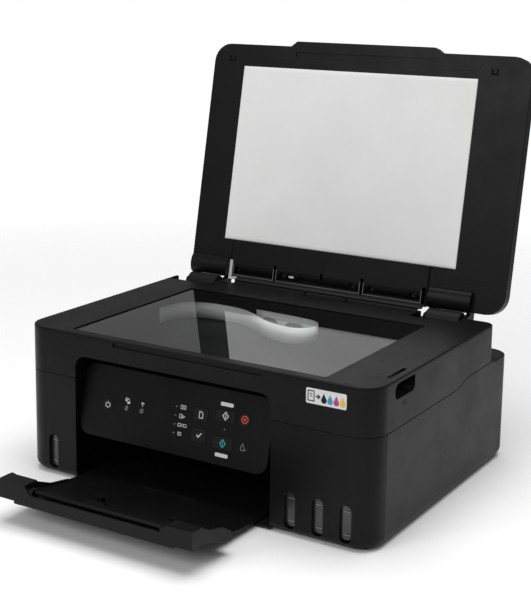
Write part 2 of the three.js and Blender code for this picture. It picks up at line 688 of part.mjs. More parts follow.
Object.entries(tankWindows).forEach(([colour, x]) => {
  add(`ink_tank_${colour}`, tankSolid(colour, x, capHalf), 0x333538, { roughness: 0.3 });
  add(`tank_cap_${colour}`, tankCap(x, capHalf), inkColours[colour], { roughness: 0.6 });
});

// ---------------------------------------------------------------- print mechanism

function carriageRail() {
  const shelf = box(-194, 194, 160, railY, 84, 86.4);
  const web = box(-194, 194, railY - 2.4, railY, 84, 104);
  const feet = [[-194, -190.5], [190.5, 194]].map(([x0, x1]) => box(x0, x1, 158, railY, 54, 85));
  return join(shelf, web, ...feet);
}

function printCarriage() {
  const body = box(120, 180, 112, 159.2, 62, 101);
  const pockets = [[122.6, 148.4], [151.6, 177.4]].map(([x0, x1]) => box(x0, x1, 114.6, 153.4, 64.6, 110));
  const relief = box(119, 181, 156.4, 162, 60, 88);
  const hook = box(132, 168, 156.4, 174.9, 104.8, 108);
  const riser = box(132, 168, 156.4, 159.2, 99, 106);
  const clamp = box(140, 160, 172.8, 174.9, 93, 106);
  return join(cut(body, ...pockets, relief), hook, riser, clamp);
}

function cartridge(x0) {
  const body = box(x0, x0 + 25.2, 115, 153, 65, 98);
  const grip = box(x0 + 6, x0 + 19, 115, 120, 97, 103);
  return join(body, grip);
}

function stadium(radius, z0, z1) {
  const { x, y } = pulley;
  const ends = join(rod("z", z0, z1, -x, y, radius, 24), rod("z", z0, z1, x, y, radius, 24));
  return join(ends, box(-x, x, y - radius, y + radius, z0, z1));
}

function beltLoop() {
  return cut(stadium(7.3, 92, 98), stadium(6.25, 91, 99));
}

function pulleySolid(x) {
  const { y, radius } = pulley;
  const hub = rod("z", 90, 100, x, y, radius, 20);
  const flanges = [[90, 91.4], [98.6, 100]].map(([z0, z1]) => rod("z", z0, z1, x, y, 8, 20));
  const mark = box(x - 0.8, x + 0.8, y + 2.6, y + 7, 98.6, 103);
  return cut(join(hub, ...flanges), mark, rod("z", 80, 110, x, y, 1.6, 16));
}

function carriageMotor() {
  const can = rod("z", 58, 81, pulley.x, pulley.y, 14, 28);
  const shaft = rod("z", 80, 99, pulley.x, pulley.y, 1.3, 16);
  return join(can, shaft);
}

function gearOutline(teeth, module, phase) {
  const pitch = (teeth * module) / 2;
  const outline = [];
  for (let i = 0; i < teeth; i += 1) {
    const centre = phase + (2 * Math.PI * i) / teeth;
    const profile = [[-0.95, pitch - 1.2], [-0.34, pitch + 0.85], [0.34, pitch + 0.85], [0.95, pitch - 1.2]];
    profile.forEach(([across, radius]) => {
      const angle = centre + across / radius;
      outline.push([radius * Math.cos(angle), radius * Math.sin(angle)]);
    });
  }
  return outline;
}

function gearSolid(teeth, phase, y, z, x0, x1, bore) {
  const outline = gearOutline(teeth, gears.module, phase).map(([a, b]) => [a + y, b + z]);
  return cut(prism("x", outline, x0, x1), rod("x", x0 - 1, x1 + 1, y, z, bore, 24));
}

const pinionZ = gears.z - (gears.module * (gears.wheelTeeth + gears.pinionTeeth)) / 2 - 0.1;

function feedRoller() {
  const { y, z } = gears;
  const core = rod("x", -134, 112, y, z, 3.2, 12);
  const tyres = [-120, -72, -24, 24, 64].map((x) => rod("x", x, x + 22, y, z, 9, 22));
  return join(core, ...tyres);
}

function feedGear() {
  const { y, z, x, width, wheelTeeth } = gears;
  const wheel = gearSolid(wheelTeeth, -Math.PI / 2, y, z, x, x + width, 3.5);
  const holes = [0, 1, 2, 3, 4].map((i) => {
    const angle = (2 * Math.PI * (i + 0.5)) / 5;
    return rod("x", x - 1, x + width + 1, y + 10 * Math.cos(angle), z + 10 * Math.sin(angle), 3, 10);
  });
  return cut(wheel, ...holes);
}

function motorPinion() {
  const { y, x, width, pinionTeeth } = gears;
  const phase = Math.PI / 2 + Math.PI / pinionTeeth;
  return gearSolid(pinionTeeth, phase, y, pinionZ, x - 1, x + width + 1, 1.6);
}

function feedMotor() {
  const can = rod("x", 113, 138, gears.y, pinionZ, 14, 28);
  const shaft = rod("x", 103, 114, gears.y, pinionZ, 1.3, 16);
  return join(can, shaft);
}

function platen() {
  const plate = box(-134, 92, 116, 156, 56, 58.4);
  const ribs = Array.from({ length: 12 }, (_, i) => box(-126 + i * 19, -124.6 + i * 19, 118, 154, 58, 60.4));
  return join(plate, ...ribs);
}

function mainBoard() {
  const board = box(197, 198.6, 90, 262, 24, 98);
  const chips = [[110, 130, 60, 80], [150, 166, 40, 56], [190, 214, 70, 90]].map(([y0, y1, z0, z1]) => {
    return box(194.8, 197.4, y0, y1, z0, z1);
  });
  const sockets = [100, 130, 230, 246].map((y) => box(192.4, 197.4, y, y + 10, 28, 35));
  return join(board, ...chips, ...sockets);
}

function powerSupply() {
  const brick = slab(-198, -152, 200, 300, 6, 46, [3, 3, 3, 3], 0, 2, 3);
  const vents = Array.from({ length: 8 }, (_, i) => box(-190, -160, 212 + i * 10, 216 + i * 10, 44.4, 50));
  return cut(brick, ...vents);
}

function powerInlet() {
  const body = box(-186.7, -163.3, 312.4, 336.8, 22.3, 43.7);
  const well = prism("y", roundedOutline(-183, -167, 27, 39, [5, 5, 5, 5], 4), 322, 340);
  const pins = [-179, -171].map((x) => rod("y", 321, 334, x, 33, 1.3, 12));
  return join(cut(body, well), ...pins);
}

function usbPort() {
  const body = box(150.3, 165.7, 318, 336.8, 26.3, 39.7);
  const well = box(152.3, 163.7, 324, 340, 28.3, 37.7);
  const tongue = box(155.3, 160.7, 323, 334, 31.3, 34.7);
  return join(cut(body, well), tongue);
}

add("carriage_rail", carriageRail(), 0x8b8f92, STEEL);
add("print_carriage", printCarriage(), DARK);
add("print_cartridge_black", cartridge(122.9), 0x202123);
add("print_cartridge_colour", cartridge(151.9), 0x2c3f52);
add("carriage_belt", beltLoop(), 0x151515, { roughness: 0.9 });
add("drive_pulley", pulleySolid(pulley.x), 0xb9bcc0, STEEL);
add("idler_pulley", pulleySolid(-pulley.x), 0xcfd1d3);
add("carriage_motor", carriageMotor(), 0x9a9da0, STEEL);
add("feed_roller", feedRoller(), 0x3a3b3d, { roughness: 0.9 });
add("feed_gear", feedGear(), 0xd6d6d0);
add("motor_pinion", motorPinion(), 0xc8a860, STEEL);
add("feed_motor", feedMotor(), 0x9a9da0, STEEL);
add("platen", platen(), DARK);
add("main_board", mainBoard(), 0x1f5a38, { roughness: 0.5 });
add("power_supply", powerSupply(), 0x222325);
add("power_inlet", powerInlet(), 0x141414);
add("usb_port", usbPort(), 0xa9abad, STEEL);

export default group;
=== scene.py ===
"""Ink tank multifunction printer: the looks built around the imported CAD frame.

Sizes are millimetres in the printer's own frame, with the front face at y = 0, and
at() turns them into metres in the row frame.
"""

import json
import math

import bpy
from mathutils import Matrix, Vector


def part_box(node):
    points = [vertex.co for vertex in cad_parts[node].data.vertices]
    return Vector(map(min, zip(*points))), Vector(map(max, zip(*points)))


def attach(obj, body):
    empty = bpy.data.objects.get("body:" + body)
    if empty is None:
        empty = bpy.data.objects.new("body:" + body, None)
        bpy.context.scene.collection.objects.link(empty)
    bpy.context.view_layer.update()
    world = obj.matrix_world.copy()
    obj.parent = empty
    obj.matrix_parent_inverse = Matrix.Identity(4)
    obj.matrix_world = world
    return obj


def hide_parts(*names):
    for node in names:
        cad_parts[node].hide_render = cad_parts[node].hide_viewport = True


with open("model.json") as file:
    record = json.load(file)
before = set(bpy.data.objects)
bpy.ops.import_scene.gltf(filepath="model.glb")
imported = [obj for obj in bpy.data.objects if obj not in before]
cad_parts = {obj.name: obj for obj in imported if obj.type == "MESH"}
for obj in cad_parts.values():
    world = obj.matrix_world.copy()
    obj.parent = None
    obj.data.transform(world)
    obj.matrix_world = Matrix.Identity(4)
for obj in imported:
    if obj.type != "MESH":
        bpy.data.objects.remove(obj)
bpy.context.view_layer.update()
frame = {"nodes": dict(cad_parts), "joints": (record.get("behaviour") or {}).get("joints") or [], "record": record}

MM = 0.001
FRONT_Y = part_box("front_cover_left")[0].y
HALF_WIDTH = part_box("scanner_lower_case")[1].x / MM
JOINTS = {joint["name"]: joint for joint in frame["joints"]}

# Control panel: its slope, and the places of the keys on it (x, up the slope)
PANEL_TILT = 12
PANEL_LOW = (4, 53)
KEY_RISE = 0.6
ROUND_KEYS = {"power": (-105.8, 35, 6.2), "stop": (60, 49.5, 6.6)}
BOX_KEYS = {
    "select": (9.2, 45.1, 16, 13.6),
    "ok": (9.3, 24.7, 16, 13),
    "start_black": (37.7, 49.1, 22.6, 12),
    "start_colour": (37.8, 21.8, 22.6, 12),
}

# Document cover: rear edge and inner face when closed
COVER_REAR = 286.6
COVER_FACE = 161.5
PAD = {"x": (-162.8, 144.5), "s": (45.5, 259), "thick": 1.7, "proud": 0.25}

# Scanner unit and housing
SCANNER_TOP = 161
COVER_PIVOT = (298, 152.2)
RIBBON_CLAMPS = ((-56.5, 251.6, 126, 20, 17), (-21, 247.6, 125, 22, 19))
RAIL_BAYS = ((-144.5, -88.8), (-83.6, 28.2), (34, 106.3))
WINDOWS = {"black": -171, "cyan": 119.5, "magenta": 149.7, "yellow": 179.7}
BODY_DEPTH = 337


def at(x, y, z):
    """A point of the printer's own frame in the row frame."""
    return Vector((x * MM, y * MM + FRONT_Y, z * MM))


# ---------------------------------------------------------------- flat faces to draw on


class Face:
    """A flat face: u across, v up and h out of it, in millimetres from its origin."""

    def __init__(self, origin, u, v):
        self.origin = origin
        self.u = Vector(u).normalized()
        self.v = Vector(v).normalized()
        self.out = self.u.cross(self.v)

    def point(self, u, v, h=0.0):
        return self.origin + (self.u * u + self.v * v + self.out * h) * MM


def cover_face():
    """The cover's inner face as it stands open: x across and s up from the hinge edge."""
    hinge = JOINTS["cover_hinge"]
    pivot = Vector(hinge["pos_m"])
    turn = Matrix.Rotation(math.radians(hinge["range_deg"][0]), 3, "X")
    origin = pivot + turn @ (at(0, COVER_REAR, COVER_FACE) - pivot)
    return Face(origin - Vector((origin.x, 0, 0)), (1, 0, 0), turn @ Vector((0, -1, 0)))


slope = math.radians(PANEL_TILT)
PANEL = Face(at(0, *PANEL_LOW), (1, 0, 0), (0, math.sin(slope), math.cos(slope)))
RIGHT = Face(at(HALF_WIDTH, 0, 0), (0, 1, 0), (0, 0, 1))
REAR = Face(at(0, BODY_DEPTH, 0), (-1, 0, 0), (0, 0, 1))
TOP = Face(at(0, 0, SCANNER_TOP), (1, 0, 0), (0, 1, 0))
COVER = cover_face()


# ---------------------------------------------------------------- outlines


def arc(cx, cy, radius, start, end, steps=12):
    """Points on an arc, with its angles in degrees."""
    turns = [math.radians(start + (end - start) * i / steps) for i in range(steps + 1)]
    return [(cx + radius * math.cos(t), cy + radius * math.sin(t)) for t in turns]


def disc(cx, cy, radius, steps=24):
    return arc(cx, cy, radius, 0, 360, steps)[:-1]


def rounded(cx, cy, wide, high, radius, steps=4):
    """A rectangle with rounded corners, counter-clockwise."""
    a, b = wide / 2 - radius, high / 2 - radius
    corners = [(a, b, 0), (-a, b, 90), (-a, -b, 180), (a, -b, 270)]
    return [p for x, y, t in corners for p in arc(cx + x, cy + y, radius, t, t + 90, steps)]


def drop(cx, cy, radius, steps=14):
    """An ink drop: a disc that runs up to a point."""
    return arc(cx, cy, radius, 150, 390, steps) + [(cx, cy + 2.3 * radius)]


def counter_clockwise(points):
    pairs = zip(points, points[1:] + points[:1])
    doubled = sum(a[0] * b[1] - b[0] * a[1] for a, b in pairs)
    return points if doubled > 0 else points[::-1]


def stroke(points, width, closed=False):
    """Quads along a line of the given width, mitred at its corners."""
    count = len(points)
    left, right = [], []
    for i, (x, y) in enumerate(points):
        before = points[(i - 1) % count] if closed or i > 0 else points[i]
        after = points[(i + 1) % count] if closed or i < count - 1 else points[i]
        into = Vector((x - before[0], y - before[1]))
        away = Vector((after[0] - x, after[1] - y))
        ways = [way.normalized() for way in (into, away) if way.length > 1e-6]
        along = sum(ways, Vector((0, 0))).normalized()
        stretch = 1 / max(0.35, along.dot(ways[0]))
        side = Vector((-along.y, along.x)) * (width / 2 * stretch)
        left.append((x + side.x, y + side.y))
        right.append((x - side.x, y - side.y))
    spans = range(count) if closed else range(count - 1)
    return [[right[i], right[(i + 1) % count], left[(i + 1) % count], left[i]] for i in spans]


# ---------------------------------------------------------------- pieces


def piece(name, verts, faces, material, body):
    """A new mesh object that rides on a CAD body."""
    mesh = bpy.data.meshes.new(name)
    mesh.from_pydata([tuple(v) for v in verts], [], faces)
    mesh.materials.append(material)
    obj = bpy.data.objects.new(name, mesh)
    bpy.context.scene.collection.objects.link(obj)
    if body:
        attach(obj, body)
    return obj


def raised(name, face, outlines, low, high, material, body):
    """Closed thin solids between two heights over flat outlines on one face."""
    numbers, points = {}, []

    def number(point):
        key = (round(point[0], 3), round(point[1], 3))
        if key not in numbers:
            numbers[key] = len(points)
            points.append(key)
        return numbers[key]

    loops = [[number(p) for p in counter_clockwise(list(line))] for line in outlines]
    edges = {(a, b) for loop in loops for a, b in zip(loop, loop[1:] + loop[:1])}
    count = len(points)
    verts = [face.point(u, v, h) for h in (low, high) for u, v in points]
    faces = [[i + count for i in loop] for loop in loops] + [loop[::-1] for loop in loops]
    faces += [[a, b, b + count, a + count] for a, b in edges if (b, a) not in edges]
    return piece(name, verts, faces, material, body)


def turned(name, face, u, v, profile, material, body, steps=28):
    """A solid of revolution about the face's normal at (u, v): (radius, height) pairs."""
    verts, faces = [], []
    for radius, height in profile:
        verts += [face.point(a, b, height) for a, b in disc(u, v, max(radius, 0.001), steps)]
    for k in range(len(profile) - 1):
        for i in range(steps):
            j = (i + 1) % steps
            faces.append([k * steps + i, k * steps + j, (k + 1) * steps + j, (k + 1) * steps + i])
    last = (len(profile) - 1) * steps
    faces += [list(range(steps))[::-1], list(range(last, last + steps))]
    made = piece(name, verts, faces, material, body)
    made.data.shade_smooth()
    soften(made, 0.12, 2, 40)
    return made


def soften(obj, width, segments=2, angle=35):
    """Rounds an object's edges by a small bevel, in millimetres."""
    bevel = obj.modifiers.new("edge_radius", "BEVEL")
    bevel.width = width * MM
    bevel.segments = segments
    bevel.limit_method = "ANGLE"
    bevel.angle_limit = math.radians(angle)
    bevel.use_clamp_overlap = True
    shade = obj.modifiers.new("even_shading", "WEIGHTED_NORMAL")
    shade.keep_sharp = True


# ---------------------------------------------------------------- materials


class Shader:
    """One material's node tree, with short calls for the nodes used here."""

    def __init__(self, name, **sockets):
        self.material = bpy.data.materials.new(name)
        self.material.use_nodes = True
        self.tree = self.material.node_tree
        self.tree.nodes.clear()
        self.output = self.tree.nodes.new("ShaderNodeOutputMaterial")
        self.place = self.add("ShaderNodeTexCoord").outputs["Object"]
        self.surface = self.add("ShaderNodeBsdfPrincipled", **sockets)
        self.tree.links.new(self.surface.outputs[0], self.output.inputs["Surface"])

    def add(self, kind, props=None, **sockets):
        """A node with its properties and sockets set; a socket value may be another node's output."""
        node = self.tree.nodes.new(kind)
        for key, value in (props or {}).items():
            setattr(node, key, value)
        for key, value in sockets.items():
            self.put(node, key.replace("_", " "), value)
        return node

    def put(self, node, socket, value):
        if isinstance(value, bpy.types.NodeSocket):
            self.tree.links.new(value, node.inputs[socket])
        else:
            node.inputs[socket].default_value = value

    def noise(self, scale, detail=2.0, roughness=0.5):
        node = self.add("ShaderNodeTexNoise", Scale=scale, Detail=detail, Roughness=roughness)
        self.put(node, "Vector", self.place)
        return node.outputs["Fac"]

    def spread(self, value, low, high, new_low=0.0, new_high=1.0):
        """A value's range changed to another range, clamped."""
        node = self.add("ShaderNodeMapRange", Value=value)
        limits = {"From Min": low, "From Max": high, "To Min": new_low, "To Max": new_high}
        for socket, number in limits.items():
            node.inputs[socket].default_value = number
        return node.outputs["Result"]

    def blend(self, factor, first, second):
        node = self.add("ShaderNodeMixRGB", Fac=factor, Color1=first, Color2=second)
        return node.outputs["Color"]

    def math(self, operation, first, second):
        node = self.add("ShaderNodeMath", {"operation": operation})
        self.put(node, 0, first)
        self.put(node, 1, second)
        return node.outputs[0]

    def bump(self, height, strength, distance, below=None):
        node = self.add("ShaderNodeBump", Strength=strength, Distance=distance * MM, Height=height)
        if below is not None:
            self.put(node, "Normal", below)
        return node.outputs["Normal"]

    def edges(self, radius):
        """1 along the edges and 0 on the flats, from how far a rounded normal leans there."""
        round_normal = self.add("ShaderNodeBevel", {"samples": 4}, Radius=radius * MM)
        plain = self.add("ShaderNodeNewGeometry").outputs["Normal"]
        dot = self.add("ShaderNodeVectorMath", {"operation": "DOT_PRODUCT"})
        self.put(dot, 0, round_normal.outputs["Normal"])
        self.put(dot, 1, plain)
        return self.spread(dot.outputs["Value"], 0.998, 0.9)

    def set(self, **sockets):
        for key, value in sockets.items():
            self.put(self.surface, key.replace("_", " "), value)
        return self.material


def grey(value):
    return (value, value, value * 1.03, 1)


def moulded(name, tone, rough, grain=0.35, size=900, wear=0.5, specular=0.145):
    """Injection-moulded plastic: spark-eroded grain, soft handling marks and rubbed edges."""
    shader = Shader(name)
    cloud = shader.noise(9, 3, 0.6)
    fine = shader.noise(size, 3, 0.6)
    rubbed = shader.math("MULTIPLY", shader.edges(0.9), shader.spread(shader.noise(60, 3), 0.35, 0.7))
    body = shader.blend(shader.spread(cloud, 0.3, 0.7), grey(tone * 0.85), grey(tone * 1.15))
    worn = shader.blend(shader.math("MULTIPLY", rubbed, wear), body, grey(tone * 3.2))
    handled = shader.spread(shader.noise(26, 4, 0.65), 0.35, 0.75, rough - 0.05, rough + 0.06)
    polished = shader.math("SUBTRACT", handled, shader.math("MULTIPLY", rubbed, 0.1))
    normal = shader.bump(fine, grain, 0.06)
    shader.set(Specular_IOR_Level=specular)
    return shader.set(Base_Color=worn, Roughness=polished, Normal=normal)


def printed(name, colour, rough=0.45):
    """Screen-printed ink: faintly uneven in tone, with a slight tooth."""
    shader = Shader(name)
    uneven = shader.spread(shader.noise(420, 2), 0.3, 0.7)
    dark = tuple(c * 0.9 for c in colour) + (1,)
    colours = shader.blend(uneven, dark, tuple(colour) + (1,))
    normal = shader.bump(shader.noise(2400, 2), 0.15, 0.02)
    return shader.set(Base_Color=colours, Roughness=rough, Normal=normal)


def foam_sheet(name):
    """The pressed white sheet of the cover pad."""
    shader = Shader(name)
    cloud = shader.spread(shader.noise(14, 4, 0.6), 0.3, 0.7)
    colours = shader.blend(cloud, (0.79, 0.79, 0.785, 1), (0.83, 0.83, 0.825, 1))
    pores = shader.bump(shader.noise(1500, 4, 0.7), 0.25, 0.05)
    normal = shader.bump(shader.noise(40, 2), 0.12, 0.4, pores)
    shader.set(Sheen_Weight=0.15, Sheen_Roughness=0.5, Specular_IOR_Level=0.25)
    return shader.set(Base_Color=colours, Roughness=0.82, Normal=normal)


def flat_cable(name):
    """A white flat cable with fine conductors along it."""
    shader = Shader(name)
    split = shader.add("ShaderNodeSeparateXYZ", Vector=shader.place)
    lines = shader.math("FRACT", shader.math("MULTIPLY", split.outputs["Z"], 1000 / 1.6), 0)
    ridges = shader.spread(lines, 0.12, 0.3)
    colours = shader.blend(ridges, (0.78, 0.79, 0.80, 1), (0.92, 0.92, 0.92, 1))
    normal = shader.bump(ridges, 0.4, 0.08)
    shader.set(Coat_Weight=0.3, Coat_Roughness=0.2)
    return shader.set(Base_Color=colours, Roughness=0.4, Normal=normal)


def clear_glass(name, tint, ior, both_faces=1.3):
    """A clear sheet: what lies behind it shows through a mirror that grows at low angles.

    The mirror is on the outer faces only, and both_faces adds what the inner faces send back.
    """
    shader = Shader(name)
    behind = shader.add("ShaderNodeBsdfTransparent", Color=tint)
    mirror = shader.add("ShaderNodeBsdfGlossy", Roughness=0.01)
    mirror.inputs["Color"].default_value = (0.97, 0.98, 0.98, 1)
    smears = shader.spread(shader.noise(7, 2, 0.5), 0.45, 0.8, 0.006, 0.02)
    shader.put(mirror, "Roughness", smears)
    angle = shader.add("ShaderNodeFresnel", IOR=ior)
    inner = shader.add("ShaderNodeNewGeometry").outputs["Backfacing"]
    outer = shader.math("SUBTRACT", 1.0, inner)
    strength = shader.math("MULTIPLY", shader.math("MULTIPLY", angle.outputs[0], both_faces), outer)
    both = shader.add("ShaderNodeMixShader", Fac=strength)
    shader.put(both, 1, behind.outputs[0])
    shader.put(both, 2, mirror.outputs[0])
    shader.tree.nodes.remove(shader.surface)
    shader.tree.links.new(both.outputs[0], shader.output.inputs["Surface"])
    return shader.material


def smoked_tank(name):
    """Smoked, glossy tank plastic with a slightly wavy moulded surface."""
    shader = Shader(name)
    cloud = shader.spread(shader.noise(40, 3), 0.3, 0.7)
    colours = shader.blend(cloud, grey(0.012), grey(0.03))
    normal = shader.bump(shader.noise(70, 2), 0.2, 0.3)
    shader.set(Coat_Weight=0.4, Coat_Roughness=0.1)
    return shader.set(Base_Color=colours, Roughness=0.22, Normal=normal)


def soft_rubber(name, tone):
    shader = Shader(name)
    colours = shader.blend(shader.noise(50, 3), grey(tone * 0.8), grey(tone * 1.3))
    normal = shader.bump(shader.noise(1200, 3), 0.4, 0.06)
    shader.set(Specular_IOR_Level=0.3)
    return shader.set(Base_Color=colours, Roughness=0.85, Normal=normal)


def rolled_metal(name, colour, rough=0.32):
    """Plated sheet or turned metal with fine lines along x."""
    shader = Shader(name)
    stretch = shader.add("ShaderNodeMapping", Vector=shader.place)
    stretch.inputs["Scale"].default_value = (40, 1600, 1600)
    lines = shader.add("ShaderNodeTexNoise", Vector=stretch.outputs[0], Scale=1.0, Detail=3.0).outputs["Fac"]
    colours = shader.blend(shader.noise(30, 3), tuple(c * 0.85 for c in colour) + (1,), tuple(colour) + (1,))
    roughness = shader.spread(lines, 0.3, 0.7, rough - 0.08, rough + 0.12)
    normal = shader.bump(lines, 0.15, 0.03)
    shader.set(Metallic=1.0)
    return shader.set(Base_Color=colours, Roughness=roughness, Normal=normal)


def acetal(name, colour):
    shader = Shader(name)
    dark = tuple(c * 0.88 for c in colour) + (1,)
    colours = shader.blend(shader.noise(80, 3), dark, tuple(colour) + (1,))
    normal = shader.bump(shader.noise(900, 2), 0.15, 0.04)
    shader.set(Subsurface_Weight=0.05, Subsurface_Scale=0.002)
    return shader.set(Base_Color=colours, Roughness=0.42, Normal=normal)


def circuit_board(name):
    """Green solder mask with copper runs just under it."""
    shader = Shader(name)
    cells = shader.add("ShaderNodeTexBrick", Vector=shader.place, Scale=180.0)
    colours = shader.blend(cells.outputs["Fac"], (0.008, 0.07, 0.03, 1), (0.02, 0.13, 0.06, 1))
    normal = shader.bump(cells.outputs["Fac"], 0.3, 0.05)
    shader.set(Coat_Weight=0.5)
    return shader.set(Base_Color=colours, Roughness=0.35, Normal=normal)


def make_materials():
    """The finish of each material slot in the record, by the slot's name."""
    return {
        "shell_black": moulded("shell_black", 0.0045, 0.4),
        "chassis_black": moulded("chassis_black", 0.008, 0.5, 0.4, 700, 0.3),
        "panel_black": moulded("panel_black", 0.0055, 0.36, 0.2, 1300, 0.4),
        "button_black": moulded("button_black", 0.012, 0.34, 0.15, 1500, 0.6),
        "tray_black": moulded("tray_black", 0.0055, 0.4, 0.3, 1000, 0.6),
        "label_white": printed("label_white", (0.72, 0.72, 0.71), 0.35),
        "clear_glass": clear_glass("clear_glass", (0.965, 0.98, 0.975, 1), 1.45),
        "pad_white": foam_sheet("pad_white"),
        "ribbon_white": flat_cable("ribbon_white"),
        "tank_smoke": smoked_tank("tank_smoke"),
        "cap_black": moulded("cap_black", 0.012, 0.4, 0.2, 1200),
        "cap_cyan": printed("cap_cyan", (0.02, 0.3, 0.5), 0.4),
        "cap_magenta": printed("cap_magenta", (0.5, 0.03, 0.2), 0.4),
        "cap_yellow": printed("cap_yellow", (0.72, 0.52, 0.03), 0.4),
        "foot_rubber": soft_rubber("foot_rubber", 0.012),
        "belt_rubber": soft_rubber("belt_rubber", 0.01),
        "roller_rubber": soft_rubber("roller_rubber", 0.04),
        "steel": rolled_metal("steel", (0.5, 0.51, 0.52)),
        "gear_white": acetal("gear_white", (0.72, 0.71, 0.66)),
        "pinion_brass": rolled_metal("pinion_brass", (0.65, 0.48, 0.2)),
        "cartridge_black": moulded("cartridge_black", 0.014, 0.4),
        "cartridge_colour": printed("cartridge_colour", (0.03, 0.07, 0.12), 0.4),
        "board_green": circuit_board("board_green"),
        "socket_black": moulded("socket_black", 0.008, 0.25, 0.1, 1200),
        "socket_steel": rolled_metal("socket_steel", (0.55, 0.55, 0.56), 0.28),
    }


MATERIALS = make_materials()
PRINT_TEAL = printed("print_teal", (0.02, 0.42, 0.40))
PRINT_ORANGE = printed("print_orange", (0.85, 0.09, 0.03))
PRINT_GREY = printed("print_grey", (0.22, 0.22, 0.22))
PRINT_PALE = printed("print_pale", (0.5, 0.5, 0.5))
# Painted shade: a near-black tone for flat plates that stand in for the shade inside slots.
SLOT_SHADE_PAINT = moulded("painted_slot_shade", 0.001, 0.7, 0.2, 900, 0.0, 0.1)
# Painted highlight: a pale tone for the rims of the rail bays, where light catches their lips.
BAY_RIM_HIGHLIGHT = moulded("painted_rim_highlight", 0.09, 0.4, 0.2, 900, 0.6, 0.3)


# ---------------------------------------------------------------- CAD nodes

# Edge radius of each kept CAD node in millimetres; the others get EDGE_RADIUS.
EDGE_RADIUS = 0.5
EDGE_RADII = {
    "output_tray": 0.35,
    "tray_extension": 0.35,
    "rear_deck": 0.5,
    "feed_gear": 0.15,
    "motor_pinion": 0.12,
    "main_board": 0.15,
    "usb_port": 0.15,
    "power_inlet": 0.3,
    "carriage_rail": 0.2,
    "carriage_belt": 0.15,
    "front_label": 0.08,
    "scan_glass": 0.4,
    "button_power": 0.3,
    "button_stop": 0.3,
    "button_select": 0.3,
    "button_ok": 0.3,
    "button_start_black": 0.3,
    "button_start_colour": 0.3,
}
PLAIN_NODES = ("scan_ribbon",)


def refine(name, obj):
    """Welds a CAD node's facets, frees its flats of loose edges and rounds its edges."""
    for polygon in obj.data.polygons:
        polygon.use_smooth = True
    weld = obj.modifiers.new("weld", "WELD")
    weld.merge_threshold = 0.00001
    if name in PLAIN_NODES:
        return
    flats = obj.modifiers.new("flats", "DECIMATE")
    flats.decimate_type = "DISSOLVE"
    flats.angle_limit = math.radians(0.6)
    soften(obj, EDGE_RADII.get(name, EDGE_RADIUS))


def dress_nodes():
    for part in frame["record"]["subparts"]:
        obj = frame["nodes"][part["node"]]
        obj.data.materials.clear()
        obj.data.materials.append(MATERIALS[part["material_slot"]])
        refine(part["node"], obj)


# ---------------------------------------------------------------- control panel


def key_marks():
    """The printed mark on each key, which rides on the key itself."""
    low, high = KEY_RISE - 0.05, KEY_RISE + 0.1

    def mark(key, outlines, material, slot=None):
        raised(f"mark_{key}", PANEL, outlines, low, high, material, f"button_{key}")

    white = MATERIALS["label_white"]
    x, w, _ = ROUND_KEYS["power"]
    power = stroke(arc(x, w, 2.7, 125, 415, 20), 0.75) + stroke([(x, w + 0.6), (x, w + 3.6)], 0.75)
    mark("power", power, white, "label_white")
    x, w, _ = ROUND_KEYS["stop"]
    slopes = ((1, 1), (1, -1))
    rays = [stroke([(x - 1.4 * a, w - 1.4 * b), (x + 1.4 * a, w + 1.4 * b)], 0.9) for a, b in slopes]
    mark("stop", stroke(disc(x, w, 3.5, 28), 0.8, True) + rays[0] + rays[1], PRINT_ORANGE)
    x, w = BOX_KEYS["select"][:2]
    page = [(x - 2, w - 3.2), (x + 2, w - 3.2), (x + 2, w + 1.4), (x + 0.3, w + 3.2), (x - 2, w + 3.2)]
    mark("select", stroke(page, 0.8, True), white, "label_white")
    x, w = BOX_KEYS["ok"][:2]
    tick = [(x - 2.7, w + 0.2), (x - 0.7, w - 2.1), (x + 2.9, w + 2.4)]
    mark("ok", stroke(tick, 1.0), white, "label_white")
    for key, material, slot in (("start_black", white, "label_white"), ("start_colour", PRINT_TEAL, None)):
        x, w = BOX_KEYS[key][:2]
        diamond = [(x - 3.3, w), (x, w - 3.9), (x + 3.3, w), (x, w + 3.9)]
        mark(key, stroke(diamond, 0.85, True) + stroke([(x, w - 1.9), (x, w + 1.9)], 0.85), material, slot)


def panel_prints():
    """White print on the panel's face: pills by the start keys and status signs."""
    marks = []
    for w in (60.4, 10.0):
        marks.append(rounded(37.6, w, 14.8, 3.7, 1.0))
    marks += [rounded(-83.6, 43.3, 2.6, 2.2, 0.3), rounded(-80.4, 41.3, 3.4, 2.4, 0.3)]
    marks += stroke([(-84.6, 45.6), (-80.8, 45.2), (-79.4, 43.4)], 0.7)
    for radius in (1.4, 2.9):
        marks += stroke(arc(-62.8, 41.2, radius, 45, 135, 6), 0.8)
    marks.append(disc(-62.8, 40.8, 0.6, 12))
    return marks


def job_signs():
    """Four small signs beside the mode lamps: two pages, a page, two cards and a photo."""
    def page(x, w, wide, high):
        return stroke([(x, w), (x + wide, w), (x + wide, w + high), (x, w + high)], 0.55, True)

    signs = page(-15.8, 46.8, 2.2, 3.6) + page(-12.3, 46.8, 2.2, 3.6)
    signs += page(-16.4, 37.6, 2.6, 3.6) + stroke([(-12.6, 37.6), (-12.6, 41.0)], 0.9)
    signs += stroke([(-11.4, 38.2), (-10.2, 40.2)], 0.8)
    signs += page(-17.2, 29.2, 3.4, 2.6) + stroke([(-12.8, 28.9), (-11.7, 32.2)], 0.6)
    signs += page(-10.6, 29.2, 3.4, 2.6)
    signs += page(-16.0, 20.3, 3.6, 2.8) + [disc(-14.9, 21.4, 0.5, 10)]
    return signs


